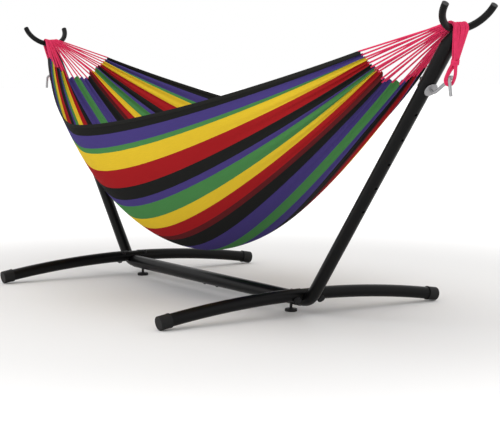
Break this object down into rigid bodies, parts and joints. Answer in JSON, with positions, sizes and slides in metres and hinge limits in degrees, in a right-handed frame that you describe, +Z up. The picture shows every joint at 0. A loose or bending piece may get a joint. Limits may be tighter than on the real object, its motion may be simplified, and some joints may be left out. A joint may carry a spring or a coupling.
{
  "type": "hammock on stand",
  "caption": "Striped cloth hammock hung by fans of cord between half-round cradles on a free-standing black steel tube stand with arched cross legs and levelling feet.",
  "frame": {"origin": "on the floor, under the middle of the bottom beam", "axes": "+X along the bottom beam, +Y across it, +Z up"},
  "size_m": [2.9262, 1.1776, 1.0432],
  "materials": {
    "black_tube": "satin black powder coat, fine texture",
    "black_fastener": "black zinc",
    "grey_plug": "moulded",
    "black_plastic": "moulded",
    "rubber_cap": "matt",
    "plated_steel": "zinc plated, satin",
    "pink_cord": "twisted cotton cord",
    "striped_cloth": "woven cotton, lengthwise stripes"
  },
  "bodies": {
    "root": {"beam_left": "black_tube", "beam_right": "black_tube", "beam_joiner": "black_tube", "joiner_screws": "black_fastener", "arm_lower_left": "black_tube", "arm_upper_left": "black_tube", "cradle_left": "black_tube", "cradle_plugs_left": "grey_plug", "hook_left": "plated_steel", "hook_washer_left": "plated_steel", "hook_nut_left": "black_fastener", "leveller_nut_left": "black_fastener", "end_bundle_left": "pink_cord", "whipping_left": "pink_cord", "hook_loop_left": "pink_cord", "leg_tube_left_front": "black_tube", "leg_cap_left_front": "rubber_cap", "leg_tube_left_rear": "black_tube", "leg_cap_left_rear": "rubber_cap", "arm_lower_right": "black_tube", "arm_upper_right": "black_tube", "cradle_right": "black_tube", "cradle_plugs_right": "grey_plug", "hook_right": "plated_steel", "hook_washer_right": "plated_steel", "hook_nut_right": "black_fastener", "leveller_nut_right": "black_fastener", "end_bundle_right": "pink_cord", "whipping_right": "pink_cord", "hook_loop_right": "pink_cord", "leg_tube_right_front": "black_tube", "leg_cap_right_front": "rubber_cap", "leg_tube_right_rear": "black_tube", "leg_cap_right_rear": "rubber_cap", "leg_bolts": "black_fastener", "leg_knobs": "black_plastic"},
    "hammock": {"suspension_cords_left": "pink_cord", "suspension_cords_right": "pink_cord", "cloth_bed": "striped_cloth"},
    "leveller_left": {"leveller_stem_left": "black_fastener", "leveller_pad_left": "black_plastic"},
    "leveller_right": {"leveller_stem_right": "black_fastener", "leveller_pad_right": "black_plastic"}
  },
  "joints": [
    {"name": "hammock_swing", "type": "hinge", "parent": "root", "child": "hammock", "pos_m": [0, 0, 0.9766], "axis": [1, 0, 0], "range_deg": [-25, 25]},
    {"name": "leveller_left_lift", "type": "slide", "parent": "root", "child": "leveller_left", "axis": [0, 0, 1], "range_m": [0, 0.012]},
    {"name": "leveller_right_lift", "type": "slide", "parent": "root", "child": "leveller_right", "axis": [0, 0, 1], "range_m": [0, 0.012]}
  ]
}
